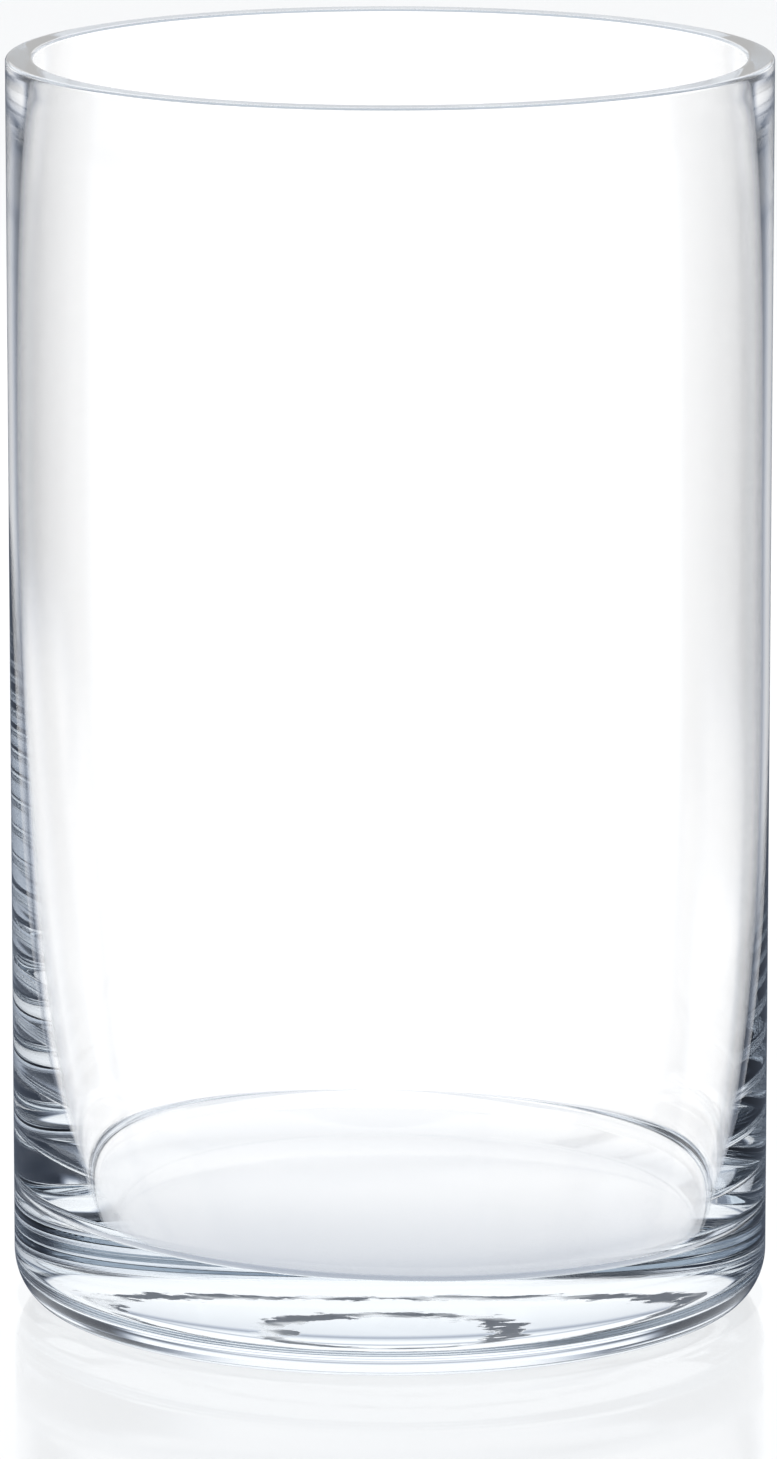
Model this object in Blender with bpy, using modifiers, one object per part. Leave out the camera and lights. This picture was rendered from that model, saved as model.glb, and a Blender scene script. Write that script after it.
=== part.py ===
"""Hand-blown clear glass cylinder vase: one piece of glass with a thick base.

Wall, rim, base and underside are all one gather of glass, so the object is a
single solid of revolution about the Z axis.  The origin is the centre of the
ground underside that it stands on, and +Z points up through the mouth.
"""
import math

import bpy

# Driving dimensions, in metres
HEIGHT = 0.2510
OUTER_RADIUS = 0.0760        # at the rim
FOOT_RADIUS = 0.0757         # the outside leans in by a hair towards the base

LIP_ROUNDING = 0.0008        # both edges of the flat rim
THIN_WALL = 0.0014           # the wall would be this thin far from rim and base
RIM_SWELL = 0.0043           # extra thickness at the rim
RIM_FADE = 0.0300            # and the height over which it fades
FOOT_SWELL = 0.0080          # extra thickness at the top of the fillet
FOOT_FADE = 0.0380           # and the height over which it fades

FLOOR_HEIGHT = 0.0196        # the inner floor, so this is the base's thickness
FILLET_RADIUS = 0.0032       # inner corner between floor and wall
FILLET_END = -25.0           # degrees on its circle where it runs into the wall

CORNER_REACH = 0.0080        # outer bottom corner, along the radius
CORNER_RISE = 0.0100         # and up the wall

# Fineness of the faceted solid
SEGMENTS = 72                # around the axis
LIP_STEPS = 3
WALL_STEPS = 12
FILLET_STEPS = 4
CORNER_STEPS = 6

GLASS_COLOUR = (0.93, 0.96, 0.98, 1.0)
GLASS_INDEX = 1.50
GLASS_ROUGHNESS = 0.02


def clear_scene():
    for old in list(bpy.data.objects):
        bpy.data.objects.remove(old, do_unlink=True)


def glass_material(name):
    material = bpy.data.materials.new(name)
    material.use_nodes = True
    shader = material.node_tree.nodes["Principled BSDF"]
    shader.inputs["Base Color"].default_value = GLASS_COLOUR
    shader.inputs["Metallic"].default_value = 0.0
    shader.inputs["Roughness"].default_value = GLASS_ROUGHNESS
    shader.inputs["IOR"].default_value = GLASS_INDEX
    shader.inputs["Transmission Weight"].default_value = 1.0
    return material


def arc(centre, reach, rise, start, end, steps):
    """Points on an ellipse about centre, from start to end in degrees."""
    points = []
    for step in range(steps + 1):
        angle = math.radians(start + (end - start) * step / steps)
        points.append((centre[0] + reach * math.cos(angle),
                       centre[1] + rise * math.sin(angle)))
    return points


def fillet_top():
    return FLOOR_HEIGHT + FILLET_RADIUS * (1 + math.sin(math.radians(FILLET_END)))


def outer_radius(height):
    """The outside is straight from the corner of the base up to the rim."""
    share = (height - CORNER_RISE) / (HEIGHT - CORNER_RISE)
    return FOOT_RADIUS + (OUTER_RADIUS - FOOT_RADIUS) * share


def wall_thickness(height):
    """Thin at mid-height, swelling up to the rim and down to the base."""
    return (THIN_WALL + RIM_SWELL * math.exp((height - HEIGHT) / RIM_FADE)
            + FOOT_SWELL * math.exp((fillet_top() - height) / FOOT_FADE))


def inner_radius(height):
    return outer_radius(height) - wall_thickness(height)


def inside_points():
    """From the axis out over the inner floor, through the fillet, up the wall."""
    reach = FILLET_RADIUS * math.cos(math.radians(FILLET_END))
    centre = (inner_radius(fillet_top()) - reach, FLOOR_HEIGHT + FILLET_RADIUS)
    points = [(0.0, FLOOR_HEIGHT)]
    points += arc(centre, FILLET_RADIUS, FILLET_RADIUS, -90, FILLET_END, FILLET_STEPS)
    wall_top = HEIGHT - LIP_ROUNDING
    for step in range(1, WALL_STEPS):
        height = fillet_top() + (wall_top - fillet_top()) * step / WALL_STEPS
        points.append((inner_radius(height), height))
    return points


def rim_points():
    """Rounded inner edge, flat top and rounded outer edge."""
    wall_top = HEIGHT - LIP_ROUNDING
    inner_centre = (inner_radius(wall_top) + LIP_ROUNDING, wall_top)
    outer_centre = (OUTER_RADIUS - LIP_ROUNDING, wall_top)
    return (arc(inner_centre, LIP_ROUNDING, LIP_ROUNDING, 180, 90, LIP_STEPS)
            + arc(outer_centre, LIP_ROUNDING, LIP_ROUNDING, 90, 0, LIP_STEPS))


def outside_points():
    """Down the outer wall, round the corner and across the underside to the axis."""
    corner_centre = (FOOT_RADIUS - CORNER_REACH, CORNER_RISE)
    corner = arc(corner_centre, CORNER_REACH, CORNER_RISE, 0, -90, CORNER_STEPS)
    return corner + [(0.0, 0.0)]


def turned(name, profile, collection, material):
    """A solid turned about Z from a profile that starts and ends on the axis."""
    mesh = bpy.data.meshes.new(name)
    edges = [(i, i + 1) for i in range(len(profile) - 1)]
    mesh.from_pydata([(r, 0.0, z) for r, z in profile], edges, [])
    body = bpy.data.objects.new(name, mesh)
    collection.objects.link(body)
    mesh.materials.append(material)
    screw = body.modifiers.new("turn", "SCREW")
    screw.axis = "Z"
    screw.angle = math.tau
    screw.steps = SEGMENTS
    screw.render_steps = SEGMENTS
    screw.use_merge_vertices = True
    screw.merge_threshold = 0.00001
    screw.use_smooth_shade = True
    return body


def main():
    clear_scene()
    collection = bpy.data.collections.new("glass_cylinder_vase")
    bpy.context.scene.collection.children.link(collection)
    profile = inside_points() + rim_points() + outside_points()
    turned("glass_body", profile, collection, glass_material("clear_glass"))


main()
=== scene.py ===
"""Looks of the glass cylinder vase: a finely turned, slightly uneven glass body,
a pale floor and a soft bright-field studio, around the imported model."""
import math
from collections import namedtuple

import bpy
import numpy as np
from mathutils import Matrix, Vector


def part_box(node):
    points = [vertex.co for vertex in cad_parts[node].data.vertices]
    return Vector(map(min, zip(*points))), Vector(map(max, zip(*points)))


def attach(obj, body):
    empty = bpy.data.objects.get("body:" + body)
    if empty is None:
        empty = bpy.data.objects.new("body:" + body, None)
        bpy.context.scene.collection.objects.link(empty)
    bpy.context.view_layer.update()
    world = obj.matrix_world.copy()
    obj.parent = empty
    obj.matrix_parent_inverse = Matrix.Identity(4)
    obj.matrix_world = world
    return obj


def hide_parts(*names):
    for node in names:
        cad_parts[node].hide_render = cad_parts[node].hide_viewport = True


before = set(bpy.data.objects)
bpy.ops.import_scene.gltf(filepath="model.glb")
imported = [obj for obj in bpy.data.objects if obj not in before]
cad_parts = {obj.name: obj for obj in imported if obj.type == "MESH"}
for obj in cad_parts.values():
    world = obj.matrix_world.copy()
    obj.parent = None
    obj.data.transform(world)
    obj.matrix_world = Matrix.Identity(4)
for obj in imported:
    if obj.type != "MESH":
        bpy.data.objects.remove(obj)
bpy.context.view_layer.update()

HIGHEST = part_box("glass_body")[1]

# Outline of the glass, in metres, as in the CAD model
HEIGHT = HIGHEST.z
OUTER_RADIUS = HIGHEST.x
FOOT_RADIUS = OUTER_RADIUS - 0.0003
LIP_ROUNDING = 0.0008
THIN_WALL = 0.0014
RIM_SWELL = 0.0043
RIM_FADE = 0.0300
FOOT_SWELL = 0.0080
FOOT_FADE = 0.0380
FLOOR_HEIGHT = 0.0196
FILLET_RADIUS = 0.0032
FILLET_END = -25.0           # degrees on the fillet's circle
FILLET_TOP = FLOOR_HEIGHT + FILLET_RADIUS * (1 + math.sin(math.radians(FILLET_END)))
CORNER_REACH = 0.0080
CORNER_RISE = 0.0100

# Points along each stretch of the outline, and round the axis
FLOOR_POINTS = 36
FILLET_STEPS = 24
WALL_POINTS = 130
LIP_STEPS = 8
RIM_POINTS = 8
OUTSIDE_POINTS = 70
CORNER_STEPS = 26
UNDERSIDE_POINTS = 110
SEGMENTS = 384

# Unevenness of hand-blown glass
CAVITY_SHIFT = 0.0014        # metres the foot of the cavity sits towards +X
SHIFT_END = (0.030, 0.165)   # heights between which that fades
FLOOR_TILT = (0.030, -0.015) # slope of the inner floor: its drop along +X and +Y
TILT_END = (0.010, 0.060)    # heights between which the slope fades
THINNEST = 0.001             # the cavity is further than this from the outside

# Glass
GLASS_IOR = 1.50
TINT_COLOUR = (0.62, 0.73, 0.82)
TINT_DENSITY = 2.6
# painted shade: the rim's flat top is tinted dark, standing in for the grey line the light
# makes along the rim
RIM_PAINTED_SHADE = (0.18, 0.22, 0.27)      # flat top of the rim, darker than clear glass is

# Ragged rings where the underside was ground, which also carry painted shade at
# grazing angles: centre and half size along Y, half size along X, and width of the band
Ring = namedtuple("Ring", "centre deep wide band")
GROUND_AND_SHADE_RINGS = (Ring(-0.0080, 0.0370, 0.0430, 0.0056),
                Ring(-0.0120, 0.0205, 0.0170, 0.0064))
RING_EDGE = (0.35, 0.50)     # share of the width where a ring starts and stops fading
RAGGED = 0.0180              # how far the noise moves a ring's edge
RAGGED_SCALE = 200.0
RAGGED_DETAIL = 6.0
RAGGED_ROUGHNESS = 0.65
PATCHY_SCALE = 70.0
PATCHY_RANGE = (0.36, 0.50)  # noise values where a ring goes from faint to full
PATCHY_FAINT = 0.25
UNDERSIDE_HEIGHT = 0.0005    # the rings lie below this height
# on the rings the glass is rough; at grazing angles it also turns dull and dark: painted
# shade where the base meets the floor
GROUND_ROUGHNESS = 0.55
GROUND_SHADE_SHARE = 0.95
GROUND_PAINTED_SHADE = (0.12, 0.14, 0.18)
GRAZING = (0.45, 0.80)       # facing values where the ground glass turns dull

# Studio: each softbox has an azimuth and half width, a lowest and highest
# elevation, and the softness of its sides and ends, in degrees, then its power.
# Azimuth 0 is along +Y.  The low boxes stand behind the vase as seen along azimuths
# 0, -45, -90 and 135 only, so it looks darker along the others.
Softbox = namedtuple("Softbox", "azimuth half lowest highest side end power")
LOW_BOXES = [Softbox(0, 23.0, -95.0, 5.0, 10.0, 2.0, 1.0),
             Softbox(-45, 17.5, -95.0, -12.0, 6.0, 2.0, 1.0),
             Softbox(-90, 15.0, -95.0, 5.0, 4.0, 2.0, 1.0),
             Softbox(135, 17.5, -95.0, 0.0, 6.0, 2.0, 1.0)]
HIGH_BOXES = [Softbox(0, 60.0, 13.0, 95.0, 3.0, 2.0, 1.0),
              Softbox(0, 33.0, 5.0, 13.0, 4.0, 2.0, 1.0),
              Softbox(135, 25.0, 5.0, 95.0, 5.0, 2.0, 0.6),
              Softbox(180, 34.0, 12.0, 65.0, 5.0, 3.0, 1.0),
              Softbox(-90, 15.0, 5.0, 30.0, 4.0, 2.0, 0.8),
              Softbox(125, 70.0, 34.0, 62.0, 6.0, 8.0, 0.85),
              Softbox(0, 185.0, 60.0, 95.0, 1.0, 8.0, 0.8)]
SIDE_BOXES = [Softbox(azimuth, 15.0, -95.0, -15.0, 4.0, 2.0, 1.0) for azimuth in (58, -58)]
FLOOR_GLOW = [Softbox(0, 185.0, -95.0, -28.0, 1.0, 8.0, 0.8)]
BOXES = LOW_BOXES + HIGH_BOXES + SIDE_BOXES + FLOOR_GLOW
SOFTBOX_LIGHT = 1.20
STUDIO_RAMP = [(0.0, (0.022, 0.027, 0.038)), (0.33, (0.20, 0.225, 0.275)),
               (0.66, (0.58, 0.61, 0.67)), (1.0, (1.0, 1.0, 1.0))]

# What mirrored rays see, from below upwards, and the elevations of the changes
SHEEN_FLOOR = (0.80, 0.84, 0.89)
SHEEN_BELOW = (0.10, 0.12, 0.16)
SHEEN_LEVEL = (1.00, 1.00, 1.00)
SHEEN_ABOVE = (1.75, 1.75, 1.75)
FLOOR_TO_BELOW = (-26.0, -18.0)
BELOW_TO_LEVEL = (-4.0, 3.0)
LEVEL_TO_ABOVE = (8.0, 10.0)
FILL_COLOUR = (1.165, 1.185, 1.205)  # what matte surfaces see
BACKDROP_COLOUR = (1.02, 1.02, 1.02)

# Floor, and a glowing disc under the glass: painted light and shade of the floor seen
# through the vase
FLOOR_SIZE = 60.0
AIR_GAP = 0.0002
DISC_SIDES = 96
FLOOR_COLOUR = (0.8, 0.8, 0.8)
FLOOR_ROUGHNESS = 0.05
FLOOR_IOR = 1.10
PATCH_RADIUS = 0.99 * OUTER_RADIUS
PATCH_HEIGHT = -0.75 * AIR_GAP
PATCH_SPAN = (-0.9 * OUTER_RADIUS, 0.6 * OUTER_RADIUS)   # along Y, dim to bright
# painted light and shade: the disc glows brighter at the back and dimmer at the front
PATCH_PAINTED_LIGHT_RAMP = [(0.0, (0.42, 0.46, 0.53)), (1.0, (1.0, 1.0, 1.0))]
PATCH_PAINTED_LIGHT_POWER = 1.1

# Camera
LENS = 266.0
CAMERA_PLACE = (-0.0003, -27.81 * OUTER_RADIUS, 7.039 * OUTER_RADIUS)
CAMERA_DROP = 11.23          # degrees it looks down
FARTHEST = 200.0
BOUNCES = 40


# ---------------------------------------------------------------- outline

def arc(centre, reach, rise, start, end, steps):
    """Points on an ellipse about centre, from start to end in degrees."""
    angles = np.radians(np.linspace(start, end, steps + 1))
    return np.stack([centre[0] + reach * np.cos(angles),
                     centre[1] + rise * np.sin(angles)], 1)


def outer_radius(height):
    """The outside is straight from the corner of the base up to the rim."""
    share = (height - CORNER_RISE) / (HEIGHT - CORNER_RISE)
    return FOOT_RADIUS + (OUTER_RADIUS - FOOT_RADIUS) * share


def wall_thickness(height):
    """Thin at mid-height, swelling up to the rim and down to the base."""
    return (THIN_WALL + RIM_SWELL * np.exp((height - HEIGHT) / RIM_FADE)
            + FOOT_SWELL * np.exp((FILLET_TOP - height) / FOOT_FADE))


def inner_radius(height):
    return outer_radius(height) - wall_thickness(height)


def inside_points():
    """From the axis out over the inner floor, through the fillet, up the wall."""
    reach = FILLET_RADIUS * math.cos(math.radians(FILLET_END))
    flat = inner_radius(FILLET_TOP) - reach
    wall_top = HEIGHT - LIP_ROUNDING
    radii = np.linspace(0.0, flat, FLOOR_POINTS, endpoint=False)
    floor = np.stack([radii, np.full_like(radii, FLOOR_HEIGHT)], 1)
    fillet = arc((flat, FLOOR_HEIGHT + FILLET_RADIUS), FILLET_RADIUS, FILLET_RADIUS,
                 -90, FILLET_END, FILLET_STEPS)
    heights = np.linspace(FILLET_TOP, wall_top, WALL_POINTS)[1:-1]
    wall = np.stack([inner_radius(heights), heights], 1)
    return np.concatenate([floor, fillet, wall])


def rim_points():
    """Rounded inner edge, flat top and rounded outer edge."""
    wall_top = HEIGHT - LIP_ROUNDING
    inner = arc((inner_radius(wall_top) + LIP_ROUNDING, wall_top),
                LIP_ROUNDING, LIP_ROUNDING, 180, 90, LIP_STEPS)
    outer = arc((OUTER_RADIUS - LIP_ROUNDING, wall_top),
                LIP_ROUNDING, LIP_ROUNDING, 90, 0, LIP_STEPS)
    flat = np.linspace(inner[-1], outer[0], RIM_POINTS)[1:-1]
    return np.concatenate([inner, flat, outer])


def outside_points():
    """Down the outer wall, round the corner and across the underside to the axis."""
    heights = np.linspace(HEIGHT - LIP_ROUNDING, CORNER_RISE, OUTSIDE_POINTS)[1:-1]
    wall = np.stack([outer_radius(heights), heights], 1)
    corner = arc((FOOT_RADIUS - CORNER_REACH, CORNER_RISE),
                 CORNER_REACH, CORNER_RISE, 0, -90, CORNER_STEPS)
    radii = np.linspace(FOOT_RADIUS - CORNER_REACH, 0.0, UNDERSIDE_POINTS)[1:]
    underside = np.stack([radii, np.zeros_like(radii)], 1)
    return np.concatenate([wall, corner, underside])


# ---------------------------------------------------------------- unevenness

def soft_step(value, low, high):
    """0 below low, 1 above high, and smooth between."""
    share = np.clip((value - low) / (high - low), 0.0, 1.0)
    return share * share * (3.0 - 2.0 * share)


def inside_mask(points):
    """True for the points of the cavity, which lie well inside the outer wall."""
    radius = np.hypot(points[:, 0], points[:, 1])
    above_underside = points[:, 2] > 0.5 * FLOOR_HEIGHT
    return above_underside & (radius < outer_radius(points[:, 2]) - THINNEST)


def uneven(points):
    """Move the cavity off centre near the base, and tilt its floor."""
    x, y, z = points.T
    cavity = inside_mask(points)
    shift = CAVITY_SHIFT * (1.0 - soft_step(z, *SHIFT_END))
    tilt = -(FLOOR_TILT[0] * x + FLOOR_TILT[1] * y) * (1.0 - soft_step(z, *TILT_END))
    return np.stack([x + np.where(cavity, shift, 0.0), y,
                     z + np.where(cavity, tilt, 0.0)], 1)


# ---------------------------------------------------------------- shader helper

class Nodes:
    """Short ways to build the math of a shader tree."""

    def __init__(self, tree):
        self.tree = tree

    def add(self, kind, **settings):
        node = self.tree.nodes.new(kind)
        for name, value in settings.items():
            setattr(node, name, value)
        return node

    def put(self, socket, value):
        if isinstance(value, bpy.types.NodeSocket):
            self.tree.links.new(value, socket)
        else:
            socket.default_value = value

    def math(self, operation, *values):
        node = self.add("ShaderNodeMath", operation=operation)
        for socket, value in zip(node.inputs, values):
            self.put(socket, value)
        return node.outputs[0]

    def smooth(self, value, low, high, start=0.0, end=1.0):
        node = self.add("ShaderNodeMapRange", interpolation_type="SMOOTHSTEP")
        for name, number in (("Value", value), ("From Min", low), ("From Max", high),
                             ("To Min", start), ("To Max", end)):
            self.put(node.inputs[name], number)
        return node.outputs[0]

    def mix(self, share, first, second):
        node = self.add("ShaderNodeMix", data_type="RGBA")
        self.put(node.inputs["Factor"], share)
        for name, value in (("A", first), ("B", second)):
            socket = [i for i in node.inputs if i.name == name and i.type == "RGBA"][0]
            self.put(socket, (*value, 1.0) if isinstance(value, tuple) else value)
        return [o for o in node.outputs if o.type == "RGBA"][0]

    def ramp(self, value, stops):
        node = self.add("ShaderNodeValToRGB")
        self.put(node.inputs[0], value)
        elements = node.color_ramp.elements
        while len(elements) < len(stops):
            elements.new(0.5)
        for element, (position, colour) in zip(elements, stops):
            element.position = position
            element.color = (*colour, 1.0)
        return node.outputs[0]

    def split(self, vector):
        node = self.add("ShaderNodeSeparateXYZ")
        self.put(node.inputs[0], vector)
        return node.outputs

    def noise(self, place, **settings):
        node = self.add("ShaderNodeTexNoise")
        self.put(node.inputs["Vector"], place)
        for name, value in settings.items():
            self.put(node.inputs[name], value)
        return node.outputs[0]


def new_material(name):
    material = bpy.data.materials.new(name)
    material.use_nodes = True
    return material, Nodes(material.node_tree)


# ---------------------------------------------------------------- glass body

def turned_mesh(name, profile, segments):
    """A closed mesh turned about Z from a profile that starts and ends on the axis."""
    ring = profile[1:-1]
    angles = np.arange(segments) * math.tau / segments
    points = np.stack([np.outer(ring[:, 0], np.cos(angles)),
                       np.outer(ring[:, 0], np.sin(angles)),
                       np.outer(ring[:, 1], np.ones(segments))], -1).reshape(-1, 3)
    points = np.concatenate([[[0, 0, profile[0][1]]], points, [[0, 0, profile[-1][1]]]])
    column = np.arange(segments)
    after = (column + 1) % segments
    faces = [(0, 1 + c, 1 + a) for c, a in zip(column, after)]
    for row in range(len(ring) - 1):
        start = 1 + row * segments
        below = start + segments
        faces += [(start + c, below + c, below + a, start + a)
                  for c, a in zip(column, after)]
    last = len(points) - 1
    start = 1 + (len(ring) - 1) * segments
    faces += [(last, start + a, start + c) for c, a in zip(column, after)]
    mesh = bpy.data.meshes.new(name)
    mesh.from_pydata(uneven(points).tolist(), [], [tuple(int(i) for i in f) for f in faces])
    mesh.update()
    mesh.shade_smooth()
    return mesh


def ring_mask(tree, east, north, stray, ring):
    """1 on one elliptical band about the axis, with an edge that strays."""
    across = tree.math("MULTIPLY", east, ring.deep / ring.wide)
    along = tree.math("SUBTRACT", north, ring.centre)
    radius = tree.math("SQRT", tree.math("ADD", tree.math("MULTIPLY", across, across),
                                         tree.math("MULTIPLY", along, along)))
    away = tree.math("SUBTRACT", tree.math("ADD", radius, stray), ring.deep)
    inner, outer = (share * ring.band for share in RING_EDGE)
    return tree.smooth(tree.math("ABSOLUTE", away), inner, outer, 1.0, 0.0)


def ground_and_shade_rings(tree, place):
    """How strongly the underside is ground and painted with shade: 0 is clear glass and 1 is
    dull, and dark at grazing angles.
    """
    east, north, up = tree.split(place)
    ragged = tree.noise(place, Scale=RAGGED_SCALE, Detail=RAGGED_DETAIL,
                        Roughness=RAGGED_ROUGHNESS)
    stray = tree.math("MULTIPLY", tree.math("SUBTRACT", ragged, 0.5), RAGGED)
    rough_and_shaded = 0.0
    for ring in GROUND_AND_SHADE_RINGS:
        rough_and_shaded = tree.math("MAXIMUM", ring_mask(tree, east, north, stray, ring), rough_and_shaded)
    patchy = tree.smooth(tree.noise(place, Scale=PATCHY_SCALE), *PATCHY_RANGE,
                         PATCHY_FAINT, 1.0)
    rough_and_shaded = tree.math("MULTIPLY", rough_and_shaded, patchy)
    return tree.math("MULTIPLY", rough_and_shaded, tree.math("LESS_THAN", up, UNDERSIDE_HEIGHT))


def glass_material():
    """Clear, faintly blue glass: rough on the ground rings, and there dull and dark at
    grazing angles as painted shade; the rim's flat top is painted dark as shade.
    """
    material, tree = new_material("clear_glass")
    nodes = material.node_tree.nodes
    shader = nodes["Principled BSDF"]
    shader.inputs["IOR"].default_value = GLASS_IOR
    place = tree.add("ShaderNodeTexCoord").outputs["Object"]
    facing = tree.add("ShaderNodeLayerWeight").outputs["Facing"]
    dull_and_shaded = tree.math("MULTIPLY", ground_and_shade_rings(tree, place), tree.smooth(facing, *GRAZING))
    tree.put(shader.inputs["Roughness"], tree.math("MULTIPLY", dull_and_shaded, GROUND_ROUGHNESS))
    tree.put(shader.inputs["Transmission Weight"],
             tree.math("SUBTRACT", 1.0, tree.math("MULTIPLY", dull_and_shaded, GROUND_SHADE_SHARE)))
    # painted shade on the rim's flat top: its base colour is darkened there
    flat_top = HEIGHT - 0.5 * LIP_ROUNDING
    rim = tree.math("GREATER_THAN", tree.split(place)[2], flat_top)
    clear = tree.mix(rim, (1.0, 1.0, 1.0), RIM_PAINTED_SHADE)
    # painted shade: the ground rings turn dark at grazing angles
    tree.put(shader.inputs["Base Color"], tree.mix(dull_and_shaded, clear, GROUND_PAINTED_SHADE))
    tint = tree.add("ShaderNodeVolumeAbsorption")
    tint.inputs["Color"].default_value = (*TINT_COLOUR, 1.0)
    tint.inputs["Density"].default_value = TINT_DENSITY
    tree.put(nodes["Material Output"].inputs["Volume"], tint.outputs["Volume"])
    return material


def glass_body():
    profile = np.concatenate([inside_points(), rim_points(), outside_points()])
    mesh = turned_mesh("vase_glass", profile, SEGMENTS)
    mesh.materials.append(glass_material())
    body = bpy.data.objects.new("vase_glass", mesh)
    bpy.context.scene.collection.objects.link(body)
    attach(body, "root")
    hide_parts("glass_body")
    body.visible_diffuse = False
    body.visible_shadow = False


# ---------------------------------------------------------------- studio

def softbox_light(tree, azimuth, elevation):
    """Brightness of the studio in a direction, 0 to 1: the strongest softbox there."""
    light = 0.0
    for box in BOXES:
        away = tree.math("SUBTRACT", azimuth, float(box.azimuth))
        away = tree.math("ABSOLUTE", tree.math("WRAP", away, 180.0, -180.0))
        glow = tree.smooth(away, box.half - box.side, box.half + box.side, 1.0, 0.0)
        low = tree.smooth(elevation, box.lowest - box.end, box.lowest + box.end)
        high = tree.smooth(elevation, box.highest - box.end, box.highest + box.end, 1.0, 0.0)
        glow = tree.math("MULTIPLY", tree.math("MULTIPLY", glow, low), high)
        light = tree.math("MAXIMUM", tree.math("MULTIPLY", glow, box.power), light)
    return light


def studio_world():
    """Softboxes seen through the glass, a plain sheen in mirrored rays, even fill."""
    world = bpy.data.worlds.new("studio")
    world.use_nodes = True
    bpy.context.scene.world = world
    tree = Nodes(world.node_tree)
    east, north, up = tree.split(tree.add("ShaderNodeTexCoord").outputs["Generated"])
    azimuth = tree.math("DEGREES", tree.math("ARCTAN2", east, north))
    elevation = tree.math("DEGREES", tree.math("ARCSINE", up))
    scaled = tree.add("ShaderNodeVectorMath", operation="SCALE")
    light = softbox_light(tree, azimuth, elevation)
    tree.put(scaled.inputs[0], tree.ramp(light, STUDIO_RAMP))
    tree.put(scaled.inputs["Scale"], SOFTBOX_LIGHT)
    sheen = SHEEN_FLOOR
    for change, colour in ((FLOOR_TO_BELOW, SHEEN_BELOW), (BELOW_TO_LEVEL, SHEEN_LEVEL),
                           (LEVEL_TO_ABOVE, SHEEN_ABOVE)):
        sheen = tree.mix(tree.smooth(elevation, *change), sheen, colour)
    # glossy rays include the ones that pass through glass; mirrored ones only reflect
    path = tree.add("ShaderNodeLightPath").outputs
    mirrored = tree.math("MULTIPLY", path["Is Glossy Ray"], path["Is Reflection Ray"])
    colour = tree.mix(mirrored, scaled.outputs[0], sheen)
    colour = tree.mix(path["Is Diffuse Ray"], colour, FILL_COLOUR)
    colour = tree.mix(path["Is Camera Ray"], colour, BACKDROP_COLOUR)
    tree.put(world.node_tree.nodes["Background"].inputs["Color"], colour)


def disc(name, radius, height, material):
    bpy.ops.mesh.primitive_circle_add(vertices=DISC_SIDES, radius=radius,
                                      fill_type="NGON", location=(0, 0, height))
    plate = bpy.context.object
    plate.name = name
    plate.data.materials.append(material)
    return plate


def pale_floor():
    """A floor that the camera sees, but not the rays inside or off the glass."""
    material, tree = new_material("pale_floor")
    shader = tree.tree.nodes["Principled BSDF"]
    shader.inputs["Base Color"].default_value = (*FLOOR_COLOUR, 1.0)
    shader.inputs["Roughness"].default_value = FLOOR_ROUGHNESS
    shader.inputs["IOR"].default_value = FLOOR_IOR
    floor = disc("pale_floor", FLOOR_SIZE, -AIR_GAP, material)
    floor.visible_transmission = False
    floor.visible_glossy = False


def painted_floor_light():
    """Painted light: a glowing disc for the floor under the glass as lit through the vase,
    brightest at the back and darker towards the front.
    """
    material, tree = new_material("painted_floor_light")
    tree.tree.nodes.clear()
    north = tree.split(tree.add("ShaderNodeTexCoord").outputs["Object"])[1]
    glow = tree.add("ShaderNodeEmission")
    tree.put(glow.inputs["Color"], tree.ramp(tree.smooth(north, *PATCH_SPAN), PATCH_PAINTED_LIGHT_RAMP))
    tree.put(glow.inputs["Strength"], PATCH_PAINTED_LIGHT_POWER)
    tree.put(tree.add("ShaderNodeOutputMaterial").inputs["Surface"], glow.outputs[0])
    patch = disc("painted_floor_light", PATCH_RADIUS, PATCH_HEIGHT, material)
    patch.visible_camera = False
    patch.visible_glossy = False
    patch.visible_diffuse = False


def camera():
    data = bpy.data.cameras.new("camera")
    data.lens = LENS
    data.clip_end = FARTHEST
    view = bpy.data.objects.new("camera", data)
    view.location = CAMERA_PLACE
    view.rotation_euler = (math.radians(90 - CAMERA_DROP), 0.0, 0.0)
    bpy.context.scene.collection.objects.link(view)
    bpy.context.scene.camera = view


def light_paths():
    """Thick glass needs many bounces, and the colours are shown as they are."""
    scene = bpy.context.scene
    scene.cycles.max_bounces = BOUNCES
    scene.cycles.transmission_bounces = BOUNCES
    scene.cycles.glossy_bounces = BOUNCES
    scene.view_settings.view_transform = "Standard"


camera()
light_paths()
studio_world()
pale_floor()
painted_floor_light()
glass_body()
